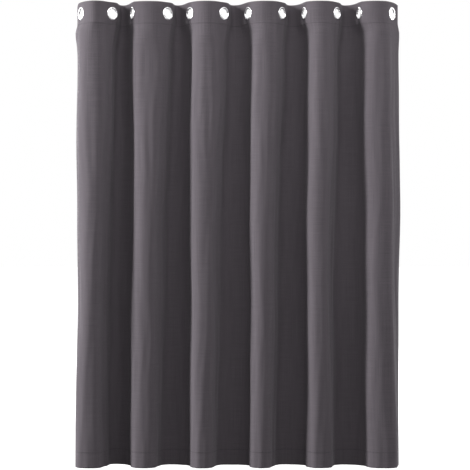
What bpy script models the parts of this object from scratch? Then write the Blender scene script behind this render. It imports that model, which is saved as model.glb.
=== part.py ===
"""Eyelet curtain panel, hanging on a pole line that runs along X.

The origin is on the pole's axis at the middle of the panel, +Z up, and the room side faces -Y.
The cloth is one cut and one piece on the real panel. Here it is divided at its fold lines into one
strip for each eyelet, so that the strips can close up along the pole as the curtain is drawn.
"""

import math

import bmesh
import bpy
import numpy as np

# The cut of the cloth, in metres
FLAT_WIDTH = 2.286
DROP = 2.134
EDGE_MARGIN = 0.060
HEADER_DEPTH = 0.104
BOTTOM_HEM = 0.075
EYELET_BELOW_TOP = 0.052

# How it hangs: the straight distances between eyelets across each front and back fold, and the
# angle between the pole and the cloth at each eyelet, on a fold's left flank and on its right
FRONT_CHORDS = (0.140, 0.160, 0.153, 0.153, 0.147, 0.147)
BACK_CHORDS = (0.094, 0.105, 0.114, 0.105, 0.105)
LEFT_FLANK_DEG = (61, 70, 58, 59, 72, 72)
RIGHT_FLANK_DEG = (43, 44, 46, 55, 55, 58)
SIDE_HANDLE = 0.34  # how far the flanks run on before they turn, as a share of the half fold
CREST_HANDLE = 0.56  # how blunt the crests are, in the same way
DEEPER_AT_HEM = 0.06
HEM_SHIFT_LEFT = 0.005

# Thicknesses
CLOTH = 0.0008
INTERFACING = 0.0006
GAP = 0.0003

# Eyelets: two rings that snap together through a round hole in the header
BORE_RADIUS = 0.022
TUBE_RADIUS = 0.0237
HOLE_RADIUS = 0.025
RING_RADIUS = 0.030
FRONT_RING_HEIGHT = 0.0032
BACK_RING_HEIGHT = 0.0022
RING_SIDES = 18
HOLE_SIDES = 18

FOLD_STEPS = 5  # facets between an eyelet's flat patch and the fold line
FLAT_PATCH = RING_RADIUS + 0.002  # half width of the flat patch that each eyelet clamps

EYELETS = len(FRONT_CHORDS) + len(BACK_CHORDS) + 1
FLAT_PITCH = (FLAT_WIDTH - 2 * EDGE_MARGIN) / (EYELETS - 1)
HALF_STACK = INTERFACING / 2 + GAP + CLOTH  # from the middle of the header to either face
TOP = EYELET_BELOW_TOP
HEADER_LINE = TOP - HEADER_DEPTH
BOTTOM = TOP - DROP
HEM_LINE = BOTTOM + BOTTOM_HEM


def eyelet_places():
    """X of each eyelet on the pole, and the direction of the cloth there as an angle from +X."""
    chords = [0.0]
    for n in range(EYELETS - 1):
        chords.append(BACK_CHORDS[n // 2] if n % 2 else FRONT_CHORDS[n // 2])
    along = np.cumsum(chords)
    turns = []
    for n in range(EYELETS):
        turns.append(RIGHT_FLANK_DEG[n // 2] if n % 2 else -LEFT_FLANK_DEG[n // 2])
    return along - along[-1] / 2, np.radians(turns)


def direction(angle):
    return np.array([math.cos(angle), math.sin(angle)])


def cubic(start, start_handle, end_handle, end, share):
    """Points of a cubic curve at each share of its length, and the direction there."""
    t = np.asarray(share)[:, None]
    points = (
        (1 - t) ** 3 * start
        + 3 * (1 - t) ** 2 * t * start_handle
        + 3 * (1 - t) * t**2 * end_handle
        + t**3 * end
    )
    slopes = (
        (1 - t) ** 2 * (start_handle - start)
        + 2 * (1 - t) * t * (end_handle - start_handle)
        + t**2 * (end - end_handle)
    )
    return points, slopes / np.linalg.norm(slopes, axis=1, keepdims=True)


def half_fold(start, along, crest, share):
    """From an eyelet's flat patch to the fold line, where the cloth runs parallel to the pole."""
    reach = crest[0] - start[0]
    side = SIDE_HANDLE * np.linalg.norm(crest - start)
    return cubic(start, start + side * along, crest - [CREST_HANDLE * reach, 0], crest, share)


def fold_curve(places, turns, n):
    """The free cloth between eyelet n's flat patch and the next one's, seen from above.

    It leaves and arrives along the eyelets' directions and turns over at a crest half way. The
    crest is as far out as it takes for the curve to hold all the cloth cut between the patches.
    Returns the points and directions of both halves, each from its patch to the crest.
    """
    out, back = direction(turns[n]), -direction(turns[n + 1])
    start = np.array([places[n], 0.0]) + FLAT_PATCH * out
    end = np.array([places[n + 1], 0.0]) + FLAT_PATCH * back
    wanted = FLAT_PITCH - 2 * FLAT_PATCH
    fine = np.linspace(0, 1, 33)
    low, high = 0.0, FLAT_PITCH
    for _ in range(40):
        depth = (low + high) / 2
        crest = (start + end) / 2 + [0, depth * np.sign(out[1])]
        halves = half_fold(start, out, crest, fine)[0], half_fold(end, back, crest, fine)[0]
        length = sum(np.linalg.norm(np.diff(half, axis=0), axis=1).sum() for half in halves)
        low, high = (depth, high) if length < wanted else (low, depth)
    steps = np.linspace(0, 1, FOLD_STEPS + 1)[1:]
    return half_fold(start, out, crest, steps), half_fold(end, back, crest, steps)


def strip_plan(places, turns, n):
    """Points and directions of strip n from above, from one fold line to the next, at the header."""
    centre, along = np.array([places[n], 0.0]), direction(turns[n])
    points = [centre + np.outer([-FLAT_PATCH, FLAT_PATCH], along)]
    ways = [np.array([along, along])]
    if n > 0:
        before, way = fold_curve(places, turns, n - 1)[1]
        points.insert(0, before[::-1])
        ways.insert(0, -way[::-1])
        points[0][0] += GAP / 2 * ways[0][0]
    else:
        points.insert(0, (centre - EDGE_MARGIN * along)[None])
        ways.insert(0, along[None])
    if n < EYELETS - 1:
        after, way = fold_curve(places, turns, n)[0]
        points.append(after)
        ways.append(way)
        points[-1][-1] -= GAP / 2 * ways[-1][-1]
    else:
        points.append((centre + EDGE_MARGIN * along)[None])
        ways.append(along[None])
    return np.concatenate(points), np.concatenate(ways)


def swept(plan, ways, outer, inner):
    """A closed solid: a section of (offset, height) pairs, carried along the plan.

    outer and inner are the two faces of the section, point by point. The folds keep the header's
    shape down to the header line, then deepen and drift evenly down to the hem.
    """
    section = np.array(list(outer) + list(reversed(inner)))
    offset, height = section[:, 0][:, None], section[:, 1][:, None]
    fall = np.clip((HEADER_LINE - height) / (HEADER_LINE - BOTTOM), 0, 1)
    deepen = 1 + DEEPER_AT_HEM * fall
    way_x, way_y = ways[:, 0][None], ways[:, 1][None] * deepen
    length = np.hypot(way_x, way_y)
    x = plan[:, 0][None] - HEM_SHIFT_LEFT * fall + offset * way_y / length
    y = plan[:, 1][None] * deepen - offset * way_x / length
    z = np.broadcast_to(height, x.shape)
    rows, columns = x.shape
    vertices = np.stack([x, y, z], axis=-1).reshape(-1, 3)
    index = np.arange(rows * columns).reshape(rows, columns)
    below = np.roll(index, -1, axis=0)
    sides = np.stack([index[:, :-1], index[:, 1:], below[:, 1:], below[:, :-1]], axis=-1)
    front, rear = index[: rows // 2], index[: rows // 2 - 1 : -1]
    near = np.stack([front[:-1, 0], front[1:, 0], rear[1:, 0], rear[:-1, 0]], axis=-1)
    far = np.stack([front[:-1, -1], rear[:-1, -1], rear[1:, -1], front[1:, -1]], axis=-1)
    faces = np.concatenate([sides.reshape(-1, 4), near, far])
    return vertices, faces


def solid(name, vertices, faces, material, place):
    """An object whose origin is at place, from vertices in world coordinates."""
    mesh = bpy.data.meshes.new(name)
    mesh.from_pydata((vertices - np.array(place)).tolist(), [], faces.tolist())
    work = bmesh.new()
    work.from_mesh(mesh)
    bmesh.ops.recalc_face_normals(work, faces=work.faces)
    work.to_mesh(mesh)
    work.free()
    mesh.shade_smooth()
    mesh.set_sharp_from_angle(angle=math.radians(40))
    mesh.materials.append(material)
    made = bpy.data.objects.new(name, mesh)
    made.location = place
    bpy.context.scene.collection.objects.link(made)
    return made


def cloth_strip(n, places, turns, material):
    """Face cloth turned over at the header, with the bottom hem turned up behind it."""
    face, lining = INTERFACING / 2 + GAP, -INTERFACING / 2 - GAP
    tuck = face - GAP
    outer = [
        (lining - CLOTH, HEADER_LINE),
        (lining - CLOTH, TOP),
        (face + CLOTH, TOP),
        (face + CLOTH, HEADER_LINE),
        (face + CLOTH, HEM_LINE),
        (face + CLOTH, BOTTOM),
        (tuck - CLOTH, BOTTOM),
        (tuck - CLOTH, HEM_LINE),
    ]
    inner = [
        (lining, HEADER_LINE),
        (lining, TOP - CLOTH),
        (face, TOP - CLOTH),
        (face, HEADER_LINE),
        (face, HEM_LINE),
        (face, BOTTOM + CLOTH),
        (tuck, BOTTOM + CLOTH),
        (tuck, HEM_LINE),
    ]
    vertices, faces = swept(*strip_plan(places, turns, n), outer, inner)
    place = (places[n], 0, 0)
    return solid(f"cloth_fold_{n + 1:02d}", vertices, faces, material, place)


def interfacing_strip(n, places, turns, material):
    """The stiff tape inside the header, between the face cloth and the part turned over."""
    half = INTERFACING / 2
    top = TOP - CLOTH - GAP
    outer = [(half, top), (half, HEADER_LINE)]
    inner = [(-half, top), (-half, HEADER_LINE)]
    vertices, faces = swept(*strip_plan(places, turns, n), outer, inner)
    place = (places[n], 0, 0)
    return solid(f"header_interfacing_{n + 1:02d}", vertices, faces, material, place)


def hole_cutter(n, hinge):
    """The round hole that the eyelet's tube passes through."""
    bpy.ops.mesh.primitive_cylinder_add(
        vertices=HOLE_SIDES, radius=HOLE_RADIUS, depth=8 * HALF_STACK, rotation=(math.pi / 2, 0, 0)
    )
    cutter = bpy.context.active_object
    cutter.name = f"hole_cutter_{n + 1:02d}"
    cutter.parent = hinge
    cutter.hide_render = True
    cutter.display_type = "WIRE"
    return cutter


def cut(piece, cutter):
    hole = piece.modifiers.new("eyelet hole", "BOOLEAN")
    hole.operation = "DIFFERENCE"
    hole.solver = "EXACT"
    hole.object = cutter


def ring_mesh(name, profile, material):
    """A ring turned about the eyelet's axis, local Y, from (radius, distance to the front)."""
    work = bmesh.new()
    corners = [work.verts.new((radius, -out, 0)) for radius, out in profile]
    edges = [work.edges.new((a, b)) for a, b in zip(corners, corners[1:] + corners[:1])]
    bmesh.ops.spin(
        work,
        geom=corners + edges,
        axis=(0, 1, 0),
        cent=(0, 0, 0),
        steps=RING_SIDES,
        angle=2 * math.pi,
        use_merge=True,
    )
    bmesh.ops.remove_doubles(work, verts=work.verts, dist=1e-6)
    bmesh.ops.recalc_face_normals(work, faces=work.faces)
    mesh = bpy.data.meshes.new(name)
    work.to_mesh(mesh)
    work.free()
    mesh.shade_smooth()
    mesh.set_sharp_from_angle(angle=math.radians(40))
    mesh.materials.append(material)
    return mesh


def front_ring(material):
    """A domed flange on the cloth's face, and the tube that goes through to the back."""
    under = HALF_STACK + GAP
    crown = under + FRONT_RING_HEIGHT
    end = -HALF_STACK - GAP - BACK_RING_HEIGHT
    profile = [
        (BORE_RADIUS, end),
        (BORE_RADIUS, crown - 0.0012),
        (BORE_RADIUS + 0.0014, crown),
        (RING_RADIUS - 0.0020, crown),
        (RING_RADIUS, crown - 0.0014),
        (RING_RADIUS, under),
        (TUBE_RADIUS, under),
        (TUBE_RADIUS, end),
    ]
    return ring_mesh("eyelet_front", profile, material)


def back_ring(material):
    """The ring behind the cloth, which snaps onto the front ring's tube."""
    under = -HALF_STACK - GAP
    crown = under - BACK_RING_HEIGHT
    inner = TUBE_RADIUS + GAP
    profile = [
        (inner, under),
        (inner, crown),
        (RING_RADIUS - 0.0015, crown),
        (RING_RADIUS, crown + 0.0010),
        (RING_RADIUS, under),
    ]
    return ring_mesh("eyelet_back", profile, material)


def finish(name, colour, roughness, metallic):
    material = bpy.data.materials.new(name)
    material.use_nodes = True
    shader = material.node_tree.nodes["Principled BSDF"]
    shader.inputs["Base Color"].default_value = (*colour, 1)
    shader.inputs["Roughness"].default_value = roughness
    shader.inputs["Metallic"].default_value = metallic
    return material


def place_ring(name, mesh, hinge):
    ring = bpy.data.objects.new(name, mesh)
    bpy.context.scene.collection.objects.link(ring)
    ring.parent = hinge
    return ring


for old in list(bpy.data.objects):
    bpy.data.objects.remove(old, do_unlink=True)

cloth = finish("grey cloth", (0.085, 0.072, 0.083), 0.9, 0.0)
tape = finish("header interfacing", (0.75, 0.74, 0.71), 0.95, 0.0)
silver = finish("satin silver", (0.62, 0.62, 0.62), 0.3, 1.0)

places, turns = eyelet_places()
front_mesh, back_mesh = front_ring(silver), back_ring(silver)
for n in range(EYELETS):
    hinge = bpy.data.objects.new(f"eyelet_axis_{n + 1:02d}", None)
    bpy.context.scene.collection.objects.link(hinge)
    hinge.location = (places[n], 0, 0)
    hinge.rotation_euler = (0, 0, turns[n])
    cutter = hole_cutter(n, hinge)
    cut(cloth_strip(n, places, turns, cloth), cutter)
    cut(interfacing_strip(n, places, turns, tape), cutter)
    place_ring(f"eyelet_front_{n + 1:02d}", front_mesh, hinge)
    place_ring(f"eyelet_back_{n + 1:02d}", back_mesh, hinge)
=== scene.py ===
"""Looks of an eyelet curtain panel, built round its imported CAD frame.

The panel hangs on a pole line along X, with the room side towards -Y. All sizes are in metres.
"""

import math

import bpy
import numpy as np
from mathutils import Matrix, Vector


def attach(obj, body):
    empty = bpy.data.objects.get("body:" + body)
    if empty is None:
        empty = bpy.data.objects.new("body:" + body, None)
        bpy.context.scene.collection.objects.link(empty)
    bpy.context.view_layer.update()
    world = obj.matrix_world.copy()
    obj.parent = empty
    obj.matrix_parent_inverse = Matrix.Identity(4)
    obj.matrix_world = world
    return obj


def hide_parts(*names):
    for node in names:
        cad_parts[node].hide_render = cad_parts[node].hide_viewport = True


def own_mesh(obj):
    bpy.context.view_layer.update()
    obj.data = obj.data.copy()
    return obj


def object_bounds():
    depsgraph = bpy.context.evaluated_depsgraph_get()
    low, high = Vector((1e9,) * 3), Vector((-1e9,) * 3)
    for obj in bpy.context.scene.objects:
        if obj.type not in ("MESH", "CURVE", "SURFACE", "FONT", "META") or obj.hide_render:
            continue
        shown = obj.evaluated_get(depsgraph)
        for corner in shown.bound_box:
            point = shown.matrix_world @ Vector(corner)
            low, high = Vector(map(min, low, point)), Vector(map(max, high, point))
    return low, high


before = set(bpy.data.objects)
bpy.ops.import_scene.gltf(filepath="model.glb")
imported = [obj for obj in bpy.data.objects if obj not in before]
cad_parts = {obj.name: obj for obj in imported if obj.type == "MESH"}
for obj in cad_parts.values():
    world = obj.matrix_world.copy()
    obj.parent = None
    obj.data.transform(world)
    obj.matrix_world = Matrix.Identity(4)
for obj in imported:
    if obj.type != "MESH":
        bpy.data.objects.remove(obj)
cad_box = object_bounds()

# The face cloth: one cut piece of closely woven, matt, room-darkening cloth. It is turned over at
# the top to make the header, turned up at the bottom and turned in at both sides, and it hangs in
# six front folds. The header's tape holds the folds' shape there. Below it the folds relax.
CLOTH_WIDTH = 2.286
CLOTH_DROP = 2.134
EDGE_MARGIN = 0.060
HEADER_DEPTH = 0.104
BOTTOM_HEM = 0.075
SIDE_HEM = 0.025
EYELET_BELOW_TOP = 0.052
CLOTH_THICKNESS = 0.0007
FACE_OFFSET = 0.0007  # the face layer's middle, in front of the header's middle
HEM_LAYERS = 0.0008  # from the face layer back to a hem's second layer
SEAM_INSET = 0.004  # how far a hem's seam lies inside the turned-in cloth's edge
HOLE_RADIUS = 0.0272
RING_RADIUS = 0.030
EYELETS = 12
PITCH = (CLOTH_WIDTH - 2 * EDGE_MARGIN) / (EYELETS - 1)
HEADER_PATCH = 0.022
# Where each eyelet's flank has moved to along the pole, in millimetres: just below the header, half
# way down and at the hem. Then how far the hem has swung to the back, and the angles between the
# pole and the cloth on each flank, half way down and at the hem
DRIFT_BELOW_HEADER = np.array([-13, -4, 5, -4, 8, -4, 14, -4, 15, -4, 19, 9])
DRIFT_MIDDLE = np.array([-10, -27, 5, -27, 2, -24, 11, -25, 12, -23, 24, 11])
DRIFT_HEM = np.array([-25, -37, -10, -40, 3, -39, 11, -35, 14, -21, 30, 22])
HEM_SWING = np.array([-10, 4, 3, 5, 4, 9, 12, 12, 10, 6, 2, -16])
MIDDLE_DEG = np.array([73, 46, 85, 48, 85, 50, 87, 50, 87, 52, 72, 60])
HEM_DEG = np.array([88, 55, 97, 60, 88, 68, 101, 60, 96, 80, 68, 78])
# The curve of a half fold, as (how far its flank runs on straight, how blunt its crest is), on the
# left and the right of a front fold and then of a back fold: in the header and below it. Then how
# far the crest of a front and of a back fold leans to the right
HEADER_CURVES = np.array([[[0.10, 0.46], [0.30, 0.62]], [[0.18, 0.62], [0.24, 0.50]]])
BODY_CURVES = np.array([[[0.25, 0.66], [0.36, 0.92]], [[0.06, 0.88], [0.20, 0.56]]])
CREST_LEAN = np.array([-0.04, -0.16])
LEFT_CURL = math.radians(22)  # how far the free left edge turns back beyond its eyelet's flat patch
BACK_SAG = 0.004  # how far the top edge dips at the back folds
CORNER_DROOP = (0.016, 0.004)  # how far the free top corners sag, left and right


def ring_place(node):
    """Centre of a ring, and the angle of its face from the pole.

    In plan a ring's vertices spread most along its face, so the angle is the long axis of their
    covariance.
    """
    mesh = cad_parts[node].data
    points = np.empty(len(mesh.vertices) * 3, np.float32)
    mesh.vertices.foreach_get("co", points)
    points = np.unique(np.round(points.reshape(-1, 3), 6), axis=0)
    centre = (points.min(axis=0) + points.max(axis=0)) / 2
    plan = points[:, :2] - points[:, :2].mean(axis=0)
    along = np.linalg.eigh(plan.T @ plan)[1][:, 1]
    along = along * np.sign(along[0])
    return centre[0], math.atan2(along[1], along[0])


def smooth_step(x):
    """0 below 0, 1 above 1, and a smooth S between."""
    t = np.clip(x, 0, 1)
    return t * t * (3 - 2 * t)


def half_fold(start, along, crest, half, t):
    """Points of half a fold in plan, a cubic from the flank's end to the crest.

    Its first handle runs along the flank and its last one parallel to the pole, as long as half
    says. The arrays are (height, fold, 1, xy), and t holds the shares along the curve.
    """
    side = half[..., :1] * np.linalg.norm(crest - start, axis=-1, keepdims=True) * along
    reach = (crest - start) * half[..., 1:] * np.array([1, 0])
    t = t[:, None]
    return (
        (1 - t) ** 3 * start
        + 3 * (1 - t) ** 2 * t * (start + side)
        + 3 * (1 - t) * t**2 * (crest - reach)
        + t**3 * crest
    )


def lengths(points):
    """Length of each line of points."""
    return np.linalg.norm(np.diff(points, axis=-2), axis=-1).sum(axis=-1)


def fold_plans(nodes, ways, patch, free):
    """Plan of every fold at every height: (height, fold, point, xy).

    A fold runs from one flank's flat patch to the next one's, over a crest at the middle of the
    chord. The crest's depth is halved upon until the curve holds the cloth cut for it. free runs
    from 0 in the header to 1 where the folds have relaxed.
    """
    start = (nodes + patch * ways)[:, :-1, None]
    end = (nodes - patch * ways)[:, 1:, None]
    leave, arrive = ways[:, :-1, None], -ways[:, 1:, None]
    wanted = PITCH - (patch[:, :-1] + patch[:, 1:])[:, :, 0]
    back = np.arange(EYELETS - 1) % 2
    side = np.where(back, 1.0, -1.0)[None, :]
    free = free[:, :, None, None]
    curves = HEADER_CURVES[back] * (1 - free) + BODY_CURVES[back] * free
    left, right = curves[:, :, :1], curves[:, :, 1:]
    middle = (start + end) / 2 + CREST_LEAN[back][:, None, None] * (end - start) * np.array([1, 0])
    shares = np.linspace(0, 1, 25)
    low, high = np.zeros_like(wanted), np.full_like(wanted, PITCH)
    for _ in range(26):
        depth = (low + high) / 2
        crest = middle.copy()
        crest[..., 0, 1] += depth * side
        first = half_fold(start, leave, crest, left, shares)
        second = half_fold(end, arrive, crest, right, shares)
        short = lengths(first) + lengths(second) < wanted
        low, high = np.where(short, depth, low), np.where(short, high, depth)
    return np.concatenate([first, second[:, :, ::-1][:, :, 1:]], axis=2)


def hanging_cloth():
    """Heights, distances across, and the surface's points and normals on that grid.

    Each height's plan is the left margin, the folds and the right margin in one line, taken at
    even steps of its own length, so that the cloth is never stretched. The left margin curls back
    step by step, and the right one runs straight on. Slow waves are then added along the normal,
    fading out at the header where the tape is stiff.
    """
    rings = [ring_place(f"eyelet_front_{n + 1:02d}") for n in range(EYELETS)]
    place, turn = np.array(rings).T
    down = np.concatenate([np.arange(0, 0.26, 0.005), np.linspace(0.26, CLOTH_DROP, 150)])
    freed = smooth_step((down - EYELET_BELOW_TOP - RING_RADIUS) / 0.06)[:, None]
    relax = smooth_step((down - EYELET_BELOW_TOP - RING_RADIUS) / 0.16)[:, None]
    middle = smooth_step((down - 0.25) / 0.90)[:, None]
    late = smooth_step((down - 0.95) / 1.15)[:, None]
    chance = np.random.default_rng(11)
    phase = chance.uniform(0, 2 * math.pi, (2, EYELETS))
    sway = 0.0026 * np.sin(2 * math.pi * down[:, None] / 1.25 + phase[0])
    sway = sway + 0.0012 * np.sin(2 * math.pi * down[:, None] / 0.55 + phase[1])
    drift = DRIFT_BELOW_HEADER * freed * (1 - middle) + DRIFT_MIDDLE * middle * (1 - late)
    x = place + (drift + DRIFT_HEM * late) / 1000 + sway * relax
    y = HEM_SWING / 1000 * (0.4 * middle + 0.6 * late)
    sign = np.where(np.arange(EYELETS) % 2, 1.0, -1.0)
    relaxed = np.radians(MIDDLE_DEG * (1 - late) + HEM_DEG * late) * sign
    angle = turn * (1 - relax) + relaxed * relax
    nodes = np.stack([x, y], axis=-1)
    ways = np.stack([np.cos(angle), np.sin(angle)], axis=-1)
    stiff = 1 - smooth_step((down - HEADER_DEPTH + 0.02) / 0.16)
    patch = 0.004 + (HEADER_PATCH - 0.004) * stiff[:, None, None] * np.ones((1, EYELETS, 1))
    folds = fold_plans(nodes, ways, patch, relax)
    share = np.linspace(0, 1, 9)
    curl = angle[:, :1] - LEFT_CURL * share
    step = np.stack([np.cos(curl), np.sin(curl)], axis=-1) * (EDGE_MARGIN - HEADER_PATCH) / 9
    left = (nodes - HEADER_PATCH * ways)[:, :1] - np.cumsum(step, axis=1)
    left = np.concatenate([left[:, ::-1], (nodes - HEADER_PATCH * ways)[:, :1]], axis=1)
    right = nodes[:, -1:] + EDGE_MARGIN * ways[:, -1:]
    line = np.concatenate([left, folds.reshape(len(down), -1, 2), right], axis=1)
    across = np.linspace(0, CLOTH_WIDTH, 1144)
    step = np.linalg.norm(np.diff(line, axis=1), axis=-1)
    run = np.concatenate([np.zeros((len(down), 1)), np.cumsum(step, axis=1)], axis=1)
    run *= CLOTH_WIDTH / run[:, -1:]
    plan = [[np.interp(across, r, p[:, k]) for k in (0, 1)] for r, p in zip(run, line)]
    plan = np.moveaxis(np.array(plan), 1, 2)
    for _ in range(6):
        plan[:, 1:-1] += (plan[:, :-2] - 2 * plan[:, 1:-1] + plan[:, 2:]) / 4
    height = np.broadcast_to(EYELET_BELOW_TOP - down[:, None], plan.shape[:2])
    near = np.exp(-down / 0.22)[:, None]
    height = height - BACK_SAG * near * smooth_step(plan[..., 1] / 0.07)
    height = height - CORNER_DROOP[0] * near * np.clip(1 - across / 0.045, 0, 1) ** 2
    from_right = across - across[-1]
    height = height - CORNER_DROOP[1] * near * np.clip(from_right / 0.045 + 1, 0, 1) ** 2
    points = np.concatenate([plan, height[..., None]], axis=-1)
    u, v = across[None, :], down[:, None]
    waves = 0
    for size, width, drop in ((1.3, 0.085, 1.9), (1.0, 0.051, 0.9), (0.7, 0.037, 0.6)):
        shift, lean, pace = chance.uniform(0, 2 * math.pi, 3)
        bend = 1.6 * np.sin(2 * math.pi * v / drop + lean)
        bend = bend + 1.3 * np.sin(2 * math.pi * u / 0.47 + pace)
        swell = 0.6 + 0.4 * np.sin(2 * math.pi * (u / (5.3 * width) + v / (0.8 * drop)) + pace)
        waves = waves + size / 1000 * swell * np.sin(2 * math.pi * u / width + shift + bend)
    fade = smooth_step((v - HEADER_DEPTH) / 0.30)
    points = points + (waves * fade)[..., None] * grid_normals(points)
    return down, across, points, grid_normals(points)


def grid_normals(points):
    """Unit normals towards the room: across the rows' and columns' own directions."""
    normals = np.cross(np.gradient(points, axis=0), np.gradient(points, axis=1))
    return normals / np.linalg.norm(normals, axis=-1, keepdims=True)


CLOTH_DOWN, CLOTH_ACROSS, CLOTH_POINTS, CLOTH_NORMALS = hanging_cloth()


def on_cloth(across, down, out):
    """Points a distance out from the cloth's middle, by linear steps within the hanging grid."""
    column = np.clip(across / CLOTH_ACROSS[1], 0, len(CLOTH_ACROSS) - 1.001)
    row = np.interp(down, CLOTH_DOWN, np.arange(len(CLOTH_DOWN)))
    row = np.clip(row, 0, len(CLOTH_DOWN) - 1.001)
    i, j = row.astype(int), column.astype(int)
    a, b = (row - i)[..., None], (column - j)[..., None]
    corners = []
    for field in (CLOTH_POINTS, CLOTH_NORMALS):
        top = field[i, j] * (1 - b) + field[i, j + 1] * b
        low = field[i + 1, j] * (1 - b) + field[i + 1, j + 1] * b
        corners.append(top * (1 - a) + low * a)
    normal = corners[1] / np.linalg.norm(corners[1], axis=-1, keepdims=True)
    return corners[0] + normal * out[..., None]


def turned(t, radius):
    """A cloth edge turned back on itself: distance from the fold, and how far it has turned.

    t is the flat distance from the fold's line, below 0 on the turned part. Round the fold the
    cloth follows half a circle. The second value runs from 0 in front to 1 behind.
    """
    arc = np.clip(t / radius, -math.pi / 2, math.pi / 2)
    beyond = np.maximum(np.abs(t) - radius * math.pi / 2, 0)
    return radius * (1 - np.cos(arc)) + beyond, (1 - np.sin(arc)) / 2


def place_on_panel(u, v):
    """Hung position of a point of the cut cloth, from its flat distances across and down.

    Both run from the finished panel's left and top edges, so the turned-in parts lie below 0 and
    beyond the far edges.
    """
    hem = HEM_LAYERS / 2
    from_left, left_turn = turned(u, hem)
    from_right, right_turn = turned(CLOTH_WIDTH - u, hem)
    across = np.where(u < CLOTH_WIDTH / 2, from_left, CLOTH_WIDTH - from_right)
    from_top, top_turn = turned(v, FACE_OFFSET)
    from_hem, hem_turn = turned(CLOTH_DROP - v, hem)
    down = np.where(v < CLOTH_DROP / 2, from_top, CLOTH_DROP - from_hem)
    out = FACE_OFFSET * (1 - 2 * top_turn) - HEM_LAYERS * (left_turn + right_turn + hem_turn)
    return on_cloth(across, down, out)


def mesh_piece(name, points, faces, material, flat=None):
    """A smooth-shaded object from points and quads, with its flat coordinates as a UV map."""
    mesh = bpy.data.meshes.new(name)
    mesh.from_pydata(points.reshape(-1, 3).tolist(), [], faces.reshape(-1, faces.shape[-1]).tolist())
    if flat is not None:
        layer = mesh.uv_layers.new(name="flat")
        layer.data.foreach_set("uv", flat[faces.reshape(-1)].astype(np.float32).ravel())
    mesh.shade_smooth()
    mesh.materials.append(material)
    piece = bpy.data.objects.new(name, mesh)
    bpy.context.scene.collection.objects.link(piece)
    return piece


def pierced_sheet(u, v, centres, half, steps=3):
    """Flat points and quads of a rectangular grid with round holes.

    Round each centre the grid's cells, half of them to each side, give way to rings of quads that
    lead from the square's outline to the hole's circle.
    """
    rows, columns = len(v), len(u)
    flat = np.stack(np.meshgrid(u, v), axis=-1).reshape(-1, 2)
    index = np.arange(rows * columns).reshape(rows, columns)
    cells = np.stack([index[:-1, :-1], index[1:, :-1], index[1:, 1:], index[:-1, 1:]], axis=-1)
    kept = np.ones(cells.shape[:2], bool)
    points, faces = [flat], []
    count = len(flat)
    for row, column in centres:
        kept[row - half : row + half, column - half : column + half] = False
        block = index[row - half : row + half + 1, column - half : column + half + 1]
        outline = np.concatenate([block[0, :-1], block[:-1, -1], block[-1, :0:-1], block[:0:-1, 0]])
        centre = flat[index[row, column]]
        spoke = flat[outline] - centre
        circle = centre + HOLE_RADIUS * spoke / np.linalg.norm(spoke, axis=1, keepdims=True)
        share = np.linspace(0, 1, steps + 1)[1:, None, None]
        points.append((flat[outline] * (1 - share) + circle * share).reshape(-1, 2))
        new = count + np.arange(steps * len(outline)).reshape(steps, -1)
        rings = np.concatenate([outline[None], new])
        after = np.roll(rings, -1, axis=1)
        faces.append(np.stack([rings[:-1], rings[1:], after[1:], after[:-1]], axis=-1).reshape(-1, 4))
        count += new.size
    return np.concatenate(points), np.concatenate([cells[kept], *faces])


def add_node(tree, kind, inputs=(), **settings):
    """One shader node, its settings, and its sockets' values or the sockets that feed them."""
    node = tree.nodes.new(kind)
    for name, value in settings.items():
        setattr(node, name, value)
    for name, value in dict(inputs).items():
        if isinstance(value, bpy.types.NodeSocket):
            tree.links.new(value, node.inputs[name])
        else:
            node.inputs[name].default_value = value
    return node


def new_material(name):
    """An empty node material and its Principled shader."""
    material = bpy.data.materials.new(name)
    material.use_nodes = True
    return material.node_tree, material.node_tree.nodes["Principled BSDF"], material


def arithmetic(tree, operation, *values):
    """The output of one Math node on these values or sockets."""
    return add_node(tree, "ShaderNodeMath", dict(enumerate(values)), operation=operation).outputs[0]


def blend(tree, share, dark, light):
    """A colour between dark and light, by the share that a socket gives."""
    mix = tree.nodes.new("ShaderNodeMix")
    mix.data_type = "RGBA"
    tree.links.new(share, mix.inputs[0])
    mix.inputs[6].default_value = dark
    mix.inputs[7].default_value = light
    return mix.outputs[2]


def woven(tree, flat, threads):
    """Height of a plain weave from 0 to 1: one wave across times one wave down."""
    sizes = {"Scale": threads * math.pi / 20, "Distortion": 0.6, "Detail": 1.0, "Detail Scale": 0.4}
    waves = []
    for way in ("X", "Y"):
        wave = add_node(tree, "ShaderNodeTexWave", {"Vector": flat, **sizes}, bands_direction=way)
        waves.append(arithmetic(tree, "SUBTRACT", wave.outputs["Fac"], 0.5))
    return arithmetic(tree, "MULTIPLY_ADD", arithmetic(tree, "MULTIPLY", *waves), 2.0, 0.5)


def nearness(tree, flat_distance, line, reach):
    """1 on a seam, falling to 0 at reach from it. The seam runs at line on both sides of an edge."""
    folded = arithmetic(tree, "ABSOLUTE", flat_distance)
    apart = arithmetic(tree, "ABSOLUTE", arithmetic(tree, "SUBTRACT", folded, line))
    limits = {"From Max": reach, "To Min": 1.0, "To Max": 0.0}
    return add_node(
        tree, "ShaderNodeMapRange", {"Value": apart, **limits}, interpolation_type="SMOOTHSTEP"
    ).outputs[0]


def seams(tree, flat, reach):
    """The greatest nearness to the header line, the bottom hem line and the two side hem lines."""
    part = add_node(tree, "ShaderNodeSeparateXYZ", {0: flat})
    lines = (
        ("Y", 0, HEADER_LINE),
        ("Y", CLOTH_DROP, BOTTOM_HEM - SEAM_INSET),
        ("X", 0, SIDE_LINE),
        ("X", CLOTH_WIDTH, SIDE_LINE),
    )
    greatest = None
    for axis, edge, line in lines:
        away = arithmetic(tree, "SUBTRACT", part.outputs[axis], edge)
        seam = nearness(tree, away, line, reach)
        greatest = seam if greatest is None else arithmetic(tree, "MAXIMUM", greatest, seam)
    return greatest


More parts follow.
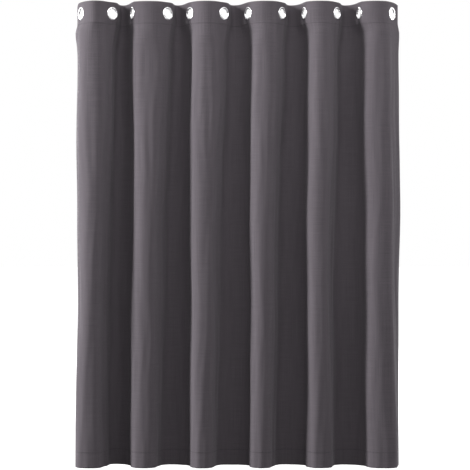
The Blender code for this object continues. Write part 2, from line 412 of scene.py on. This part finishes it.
THREADS_PER_METRE = 2300
HEADER_LINE = HEADER_DEPTH - 0.003  # where the header's seam runs, below the top edge
SIDE_LINE = SIDE_HEM - SEAM_INSET
tree, shader, cloth_material = new_material("grey_blackout_cloth")
flat_place = add_node(tree, "ShaderNodeUVMap", uv_map="flat").outputs["UV"]
weave = woven(tree, flat_place, THREADS_PER_METRE)
yarn_place = add_node(tree, "ShaderNodeMapping", {"Vector": flat_place, "Scale": (420, 5, 1)})
yarns = add_node(
    tree, "ShaderNodeTexNoise", {"Vector": yarn_place.outputs[0], "Scale": 1.0, "Detail": 3.0}
)
weft_place = add_node(tree, "ShaderNodeMapping", {"Vector": flat_place, "Scale": (9, 700, 1)})
wefts = add_node(
    tree, "ShaderNodeTexNoise", {"Vector": weft_place.outputs[0], "Scale": 1.0, "Detail": 2.0}
)
both_yarns = arithmetic(tree, "ADD", yarns.outputs["Fac"], wefts.outputs["Fac"])
tone = add_node(
    tree, "ShaderNodeMapRange", {"Value": both_yarns, "From Min": 0.75, "From Max": 1.25}
)
dyed = blend(tree, tone.outputs[0], (0.060, 0.052, 0.060, 1), (0.084, 0.073, 0.083, 1))
# Painted shade: the cloth's colour is made darker where the weave dips, in the hollows between threads.
painted_weave_shade = add_node(tree, "ShaderNodeMapRange", {"Value": weave, "To Min": 0.82, "To Max": 1.08})
# Painted shade: along the header, hem and side seams the cloth's colour is darkened to 0.7, standing in
# for the shade in the seam grooves. The same seam mask also sinks the groove in the bump below.
seam_groove_and_shade = seams(tree, flat_place, 0.0032)
painted_seam_shade = add_node(tree, "ShaderNodeMapRange", {"Value": seam_groove_and_shade, "To Min": 1.0, "To Max": 0.7})
painted_weave_and_seam_shade = arithmetic(tree, "MULTIPLY", painted_weave_shade.outputs[0], painted_seam_shade.outputs[0])
shaded = add_node(tree, "ShaderNodeVectorMath", {0: dyed}, operation="SCALE")
tree.links.new(painted_weave_and_seam_shade, shaded.inputs["Scale"])
tree.links.new(shaded.outputs[0], shader.inputs["Base Color"])
relief = arithmetic(tree, "MULTIPLY_ADD", yarns.outputs["Fac"], 0.8, weave)
weave_bump = add_node(
    tree, "ShaderNodeBump", {"Height": relief, "Strength": 0.35, "Distance": 0.0004}
)
puckers = add_node(tree, "ShaderNodeTexNoise", {"Vector": flat_place, "Scale": 95.0, "Detail": 1.0})
pucker_share = arithmetic(tree, "MULTIPLY", seams(tree, flat_place, 0.010), 0.5)
pulled = arithmetic(tree, "MULTIPLY", puckers.outputs["Fac"], pucker_share)
sunk = arithmetic(tree, "MULTIPLY_ADD", seam_groove_and_shade, -0.6, pulled)
bump = add_node(
    tree, "ShaderNodeBump",
    {"Height": sunk, "Strength": 0.9, "Distance": 0.0015, "Normal": weave_bump.outputs[0]}
)
tree.links.new(bump.outputs[0], shader.inputs["Normal"])
rough = add_node(tree, "ShaderNodeMapRange", {"Value": weave, "To Min": 0.95, "To Max": 0.84})
tree.links.new(rough.outputs[0], shader.inputs["Roughness"])
shader.inputs["Specular IOR Level"].default_value = 0.25
shader.inputs["Sheen Weight"].default_value = 0.12
shader.inputs["Sheen Roughness"].default_value = 0.5
shader.inputs["Sheen Tint"].default_value = (0.8, 0.76, 0.82, 1)

COLUMNS_PER_PITCH = 26
PATCH_HALF = 4  # columns and rows from an eyelet's centre to the edge of its square patch
FOLD_ARC = 0.00063  # flat length of a quarter turn where a hem is folded
ROW_STEP = 0.0075
ROWS_ABOVE_PATCH = 3
left_part = np.array([-SIDE_HEM, -0.016, -0.008, -FOLD_ARC, 0, FOLD_ARC, 0.0102, 0.0204])
steps = np.arange(-PATCH_HALF, COLUMNS_PER_PITCH * (EYELETS - 1) + PATCH_HALF + 1)
middle_part = EDGE_MARGIN + steps * PITCH / COLUMNS_PER_PITCH
columns = np.concatenate([left_part, middle_part, CLOTH_WIDTH - left_part[::-1]])
eyelet_columns = len(left_part) + PATCH_HALF + COLUMNS_PER_PITCH * np.arange(EYELETS)

turn_length = FACE_OFFSET * math.pi / 2
eyelet_down = EYELET_BELOW_TOP + turn_length - FACE_OFFSET
header_rows = np.concatenate([
    [turn_length, ROW_STEP, 0.0145],
    eyelet_down + np.arange(-PATCH_HALF, PATCH_HALF + 1) * ROW_STEP,
    [0.0900, 0.0970, HEADER_DEPTH + turn_length - FACE_OFFSET],
])
body_rows = np.linspace(header_rows[-1], CLOTH_DROP - BOTTOM_HEM, 80)[1:]
hem_rows = CLOTH_DROP - np.linspace(BOTTOM_HEM, ROW_STEP, 10)[1:]
hem_fold = np.array([FOLD_ARC, 0, -FOLD_ARC])
rows = np.concatenate([
    -header_rows[::-1], [0], header_rows, body_rows, hem_rows, CLOTH_DROP - hem_fold,
    2 * CLOTH_DROP - hem_rows[::-1], [CLOTH_DROP + BOTTOM_HEM],
])
face_row = len(header_rows) + 1 + ROWS_ABOVE_PATCH + PATCH_HALF
back_row = len(header_rows) - 1 - ROWS_ABOVE_PATCH - PATCH_HALF
holes = [(row, column) for row in (face_row, back_row) for column in eyelet_columns]
flat, quads = pierced_sheet(columns, rows, holes, PATCH_HALF)
hung = place_on_panel(flat[:, 0], flat[:, 1])
cloth = mesh_piece("curtain_cloth", hung, quads, cloth_material, flat)
wall = cloth.modifiers.new("cloth thickness", "SOLIDIFY")
wall.thickness = CLOTH_THICKNESS
wall.offset = 0


def gathers(piece):
    """The piece hangs from the first fold's body, with a mesh of its own."""
    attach(piece, "fold_01")
    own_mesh(piece)


FIRST_EYELET = float(ring_place("eyelet_front_01")[0])
gathers(cloth)
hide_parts(*[f"cloth_fold_{n + 1:02d}" for n in range(EYELETS)])

# The header's interfacing: a stiff white non-woven tape inside the header, between the face cloth
# and the part turned over. It is sewn in by the header line and pierced by every eyelet.
TAPE_THICKNESS = 0.0005
TAPE_SIDE_GAP = 0.027
TAPE_TOP_GAP = 0.0012

tree, shader, tape_material = new_material("non_woven_tape")
flat_place = add_node(tree, "ShaderNodeUVMap", uv_map="flat").outputs["UV"]
fibres = add_node(tree, "ShaderNodeTexNoise", {"Vector": flat_place, "Scale": 900.0, "Detail": 5.0})
mottle = add_node(
    tree, "ShaderNodeMapRange", {"Value": fibres.outputs["Fac"], "To Min": 0.60, "To Max": 0.80}
)
tree.links.new(mottle.outputs[0], shader.inputs["Base Color"])
shader.inputs["Roughness"].default_value = 0.95

tape_columns = np.concatenate([[TAPE_SIDE_GAP], middle_part[1:-1], [CLOTH_WIDTH - TAPE_SIDE_GAP]])
tape_rows = np.concatenate([[TAPE_TOP_GAP], header_rows[1:-1], [HEADER_DEPTH - TAPE_TOP_GAP]])
tape_row = ROWS_ABOVE_PATCH + PATCH_HALF
tape_holes = [(tape_row, PATCH_HALF + COLUMNS_PER_PITCH * n) for n in range(EYELETS)]
flat, quads = pierced_sheet(tape_columns, tape_rows, tape_holes, PATCH_HALF)
flat_down = flat[:, 1] - (turn_length - FACE_OFFSET)
laid = on_cloth(flat[:, 0], flat_down, 0 * flat_down)
tape = mesh_piece("header_tape", laid, quads, tape_material, flat)
wall = tape.modifiers.new("tape thickness", "SOLIDIFY")
wall.thickness = TAPE_THICKNESS
wall.offset = 0
gathers(tape)
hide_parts(*[f"header_interfacing_{n + 1:02d}" for n in range(EYELETS)])

# Eyelets: each is a pair of pressed metal rings with a satin silver finish. The front ring is a
# rounded flange and a tube that passes through the header. The back ring snaps over the tube.
BORE_RADIUS = 0.022
TUBE_RADIUS = 0.0232
UNDER_FACE = 0.00115  # where a flange rests on the header, from the header's middle
RING_STEPS = 72

tree, shader, ring_material = new_material("satin_silver")
place = add_node(tree, "ShaderNodeTexCoord").outputs["Object"]
grain = add_node(tree, "ShaderNodeTexNoise", {"Vector": place, "Scale": 1400.0, "Detail": 4.0})
cloud = add_node(tree, "ShaderNodeTexNoise", {"Vector": place, "Scale": 60.0, "Detail": 2.0})
rough = add_node(
    tree, "ShaderNodeMapRange", {"Value": cloud.outputs["Fac"], "To Min": 0.18, "To Max": 0.34}
)
tree.links.new(rough.outputs[0], shader.inputs["Roughness"])
bump = add_node(
    tree, "ShaderNodeBump", {"Height": grain.outputs["Fac"], "Strength": 0.12, "Distance": 0.0001}
)
tree.links.new(bump.outputs[0], shader.inputs["Normal"])
shader.inputs["Base Color"].default_value = (0.91, 0.91, 0.92, 1)
shader.inputs["Metallic"].default_value = 1.0


def turned_ring(node, profile, ripple=0.0):
    """Points of a ring: a closed profile of (radius, distance to the room) about the eyelet's axis.

    ripple is the depth of the small snap teeth round the bore, on the profile's first points.
    """
    x, angle = ring_place(node)
    along = np.array([math.cos(angle), math.sin(angle), 0])
    front = np.array([math.sin(angle), -math.cos(angle), 0])
    around = np.linspace(0, 2 * math.pi, RING_STEPS, endpoint=False)[:, None, None]
    radius, out = profile[:, 0][None, :, None], profile[:, 1][None, :, None]
    inner = (radius < radius.min() + 0.0002) * 1.0
    radius = radius + ripple * inner * np.cos(18 * around)
    spread = radius * (np.cos(around) * along + np.sin(around) * np.array([0, 0, 1]))
    return np.array([x, 0, 0]) + spread + out * front


def ring_quads(count):
    """Quads of a torus-like grid, closed both ways."""
    index = np.arange(RING_STEPS * count).reshape(RING_STEPS, count)
    beside, after = np.roll(index, -1, axis=1), np.roll(index, -1, axis=0)
    return np.stack([index, beside, np.roll(beside, -1, axis=0), after], axis=-1).reshape(-1, 4)


def rounded(points, radius_steps=4):
    """A closed profile with each corner cut back and rounded by a curve of the second degree."""
    points = np.array(points)
    before, after = np.roll(points, 1, axis=0), np.roll(points, -1, axis=0)
    room = np.minimum(np.linalg.norm(points - before, axis=1), np.linalg.norm(after - points, axis=1))
    back = np.minimum(0.45 * room, 0.0011)[:, None]
    a = points + back * (before - points) / np.linalg.norm(before - points, axis=1, keepdims=True)
    b = points + back * (after - points) / np.linalg.norm(after - points, axis=1, keepdims=True)
    t = np.linspace(0, 1, radius_steps)[None, :, None]
    curve = (1 - t) ** 2 * a[:, None] + 2 * t * (1 - t) * points[:, None] + t**2 * b[:, None]
    return curve.reshape(-1, 2)


front_profile = rounded([
    (BORE_RADIUS, -0.0028), (BORE_RADIUS, 0.0026), (0.0234, 0.0035), (0.0262, 0.0037),
    (0.0288, 0.0031), (RING_RADIUS, 0.0019), (RING_RADIUS, UNDER_FACE), (0.0292, UNDER_FACE),
    (0.0280, 0.0019), (TUBE_RADIUS + 0.0006, 0.0019), (TUBE_RADIUS, UNDER_FACE), (TUBE_RADIUS, -0.0028),
])
back_profile = rounded([
    (TUBE_RADIUS + 0.0004, -UNDER_FACE), (TUBE_RADIUS + 0.0004, -0.0026), (0.0248, -0.0032),
    (0.0284, -0.0030), (RING_RADIUS, -0.0021), (RING_RADIUS, -UNDER_FACE),
])
for n in range(EYELETS):
    for side, profile, ripple in (("front", front_profile, 0), ("back", back_profile, 0.0002)):
        node = f"eyelet_{side}_{n + 1:02d}"
        points = turned_ring(f"eyelet_front_{n + 1:02d}", profile, ripple)
        ring = mesh_piece(f"ring_{side}_{n + 1:02d}", points, ring_quads(len(profile)), ring_material)
        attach(ring, f"eyelet_{n + 1:02d}")
        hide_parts(node)

# Sewing thread: lock stitches in grey polyester thread, along the header line, the bottom hem and
# both side hems. They show on the face and on the back, sunk a little into the cloth.
STITCH_PITCH = 0.004
STITCH_LENGTH = 0.0034
THREAD_RADIUS = 0.00022
STITCH_SIDES = 6
HEM_LINE = CLOTH_DROP - BOTTOM_HEM + SEAM_INSET

tree, shader, thread_material = new_material("grey_thread")
place = add_node(tree, "ShaderNodeTexCoord").outputs["Object"]
twist = add_node(tree, "ShaderNodeTexNoise", {"Vector": place, "Scale": 2500.0, "Detail": 2.0})
dyed = blend(tree, twist.outputs["Fac"], (0.040, 0.034, 0.040, 1), (0.075, 0.066, 0.075, 1))
tree.links.new(dyed, shader.inputs["Base Color"])
shader.inputs["Roughness"].default_value = 0.6


def stitch_line(name, u, v, outs):
    """A row of stitches through the flat places u, v, on each face given by outs.

    A stitch is a capsule: circles of thread radius along its length that shrink at both ends, with
    its middle on the cloth's surface.
    """
    share = np.array([-0.5, -0.44, -0.25, 0.0, 0.25, 0.44, 0.5])
    girth = np.array([0.15, 0.75, 1.0, 1.0, 1.0, 0.75, 0.15])
    dip = -0.6 * np.abs(share * 2) ** 3
    run = np.hypot(np.diff(u), np.diff(v)).sum()
    count = int(run / STITCH_PITCH)
    middle = (np.arange(count) + 0.5) / count
    t = middle[:, None] + share * STITCH_LENGTH / run
    way_u, way_v = (u[1] - u[0]) / run, (v[1] - v[0]) / run
    around = np.linspace(0, 2 * math.pi, STITCH_SIDES, endpoint=False)
    points, faces, total = [], [], 0
    for out in outs:
        side = THREAD_RADIUS * girth[None, :, None] * np.cos(around)
        lift = THREAD_RADIUS * (girth[None, :, None] * np.sin(around) + dip[None, :, None])
        across = (u[0] + (u[1] - u[0]) * t)[..., None] + way_v * side
        down = (v[0] + (v[1] - v[0]) * t)[..., None] + way_u * side
        points.append(on_cloth(across, down, out + lift + 0 * across).reshape(-1, 3))
        index = total + np.arange(count * 7 * STITCH_SIDES).reshape(count, 7, STITCH_SIDES)
        after = np.roll(index, -1, axis=2)
        tube = np.stack([index[:, :-1], after[:, :-1], after[:, 1:], index[:, 1:]], axis=-1)
        faces.extend(tube.reshape(-1, 4).tolist())
        faces.extend(index[:, 0, ::-1].tolist())
        faces.extend(index[:, -1].tolist())
        total += index.size
    mesh = bpy.data.meshes.new(name)
    mesh.from_pydata(np.concatenate(points).tolist(), [], faces)
    mesh.shade_smooth()
    mesh.materials.append(thread_material)
    piece = bpy.data.objects.new(name, mesh)
    bpy.context.scene.collection.objects.link(piece)
    gathers(piece)
    return piece


face_side = FACE_OFFSET + CLOTH_THICKNESS / 2
header_back = -FACE_OFFSET - CLOTH_THICKNESS / 2
hem_back = FACE_OFFSET - HEM_LAYERS - CLOTH_THICKNESS / 2
full_width = (0.002, CLOTH_WIDTH - 0.002)
full_drop = (HEADER_DEPTH + SEAM_INSET, CLOTH_DROP - SEAM_INSET)
threads = [
    stitch_line("header_thread", full_width, (HEADER_LINE, HEADER_LINE), (face_side, header_back)),
    stitch_line("hem_thread", full_width, (HEM_LINE, HEM_LINE), (face_side, hem_back)),
    stitch_line("side_thread_left", (SIDE_LINE, SIDE_LINE), full_drop, (face_side, hem_back)),
    stitch_line(
        "side_thread_right", (CLOTH_WIDTH - SIDE_LINE, CLOTH_WIDTH - SIDE_LINE), full_drop,
        (face_side, hem_back)
    ),
]

# The floor: a plain surface just under the hem. Its own colour is a mid grey, so that it throws
# little light up at the cloth. A white glow that only the camera sees hides its horizon.
FLOOR_GAP = 0.015
tree, shader, floor_material = new_material("pale_floor")
shader.inputs["Base Color"].default_value = (0.25, 0.25, 0.25, 1)
shader.inputs["Roughness"].default_value = 0.9
shader.inputs["Emission Color"].default_value = (1, 1, 1, 1)
seen = add_node(tree, "ShaderNodeLightPath")
glow = arithmetic(tree, "MULTIPLY", seen.outputs["Is Camera Ray"], 1.0)
tree.links.new(glow, shader.inputs["Emission Strength"])
ground = cad_box[0][2] - FLOOR_GAP
edge = 30.0
corners = ((-edge, -edge), (edge, -edge), (edge, edge), (-edge, edge))
floor_points = np.array([(x, y, ground) for x, y in corners])
floor = mesh_piece("floor", floor_points, np.array([[0, 1, 2, 3]]), floor_material)

# The studio: a dim dome, white only to the camera and in reflections, two strong soft lights from
# the left, two fills in front, three weaker lights on the right and two behind for the back.
scene = bpy.context.scene
scene.view_settings.view_transform = "Standard"
world = bpy.data.worlds.new("studio")
world.use_nodes = True
scene.world = world
tree = world.node_tree
sky = tree.nodes["Background"]
sky.inputs["Color"].default_value = (1, 1, 1, 1)
sky.inputs["Strength"].default_value = 0.04
backdrop = add_node(tree, "ShaderNodeBackground", {"Color": (1, 1, 1, 1), "Strength": 1.0})
seen = add_node(tree, "ShaderNodeLightPath")
white = arithmetic(tree, "MAXIMUM", seen.outputs["Is Camera Ray"], seen.outputs["Is Glossy Ray"])
either = add_node(tree, "ShaderNodeMixShader", {0: white})
tree.links.new(sky.outputs[0], either.inputs[1])
tree.links.new(backdrop.outputs[0], either.inputs[2])
tree.links.new(either.outputs[0], tree.nodes["World Output"].inputs["Surface"])


def soft_light(name, place, target, size, power):
    """A rectangular area light at place, turned to face target."""
    light = bpy.data.lights.new(name, "AREA")
    light.shape = "RECTANGLE"
    light.size, light.size_y = size
    light.energy = power
    lamp = bpy.data.objects.new(name, light)
    lamp.location = place
    way = Vector(target) - Vector(place)
    lamp.rotation_euler = way.to_track_quat("-Z", "Y").to_euler()
    scene.collection.objects.link(lamp)
    return lamp


def round_the_panel(azimuth, distance, height):
    """A place seen from the panel at that many degrees to the left of straight in front."""
    angle = math.radians(azimuth)
    return -distance * math.sin(angle), -distance * math.cos(angle), height


panel_middle = (0, 0, -0.9)
soft_light("key_left", round_the_panel(79, 7, -0.6), panel_middle, (1.0, 2.0), 510)
soft_light("key_left_high", round_the_panel(76, 6, 2.2), panel_middle, (1.0, 1.6), 520)
soft_light("fill_front_high", (0, -2.6, 1.6), (0, 0, -0.6), (3.0, 1.0), 74)
soft_light("fill_front_right", (2.2, -2.6, 1.6), (0, 0, -0.6), (2.0, 1.0), 42)
soft_light("side_right", round_the_panel(-84, 6, -0.6), panel_middle, (1.2, 1.6), 74)
soft_light("side_right_high", round_the_panel(-66, 5, 1.6), panel_middle, (1.2, 1.6), 62)
soft_light("rim_right", round_the_panel(-115, 6, -0.2), panel_middle, (1.2, 1.6), 35)
soft_light("back_left", (-3.5, 6.0, 0.6), panel_middle, (3.0, 3.0), 330)
soft_light("back_right", (3.0, 6.0, -0.2), panel_middle, (3.0, 3.0), 260)

camera_data = bpy.data.cameras.new("camera")
camera_data.sensor_width = 36
camera_data.lens = 121.6
camera = bpy.data.objects.new("camera", camera_data)
camera.location = (-0.007, -7.3, -0.938)
aim = Vector((-0.007, 0, -1.0165)) - camera.location
camera.rotation_euler = aim.to_track_quat("-Z", "Y").to_euler()
scene.collection.objects.link(camera)
scene.camera = camera
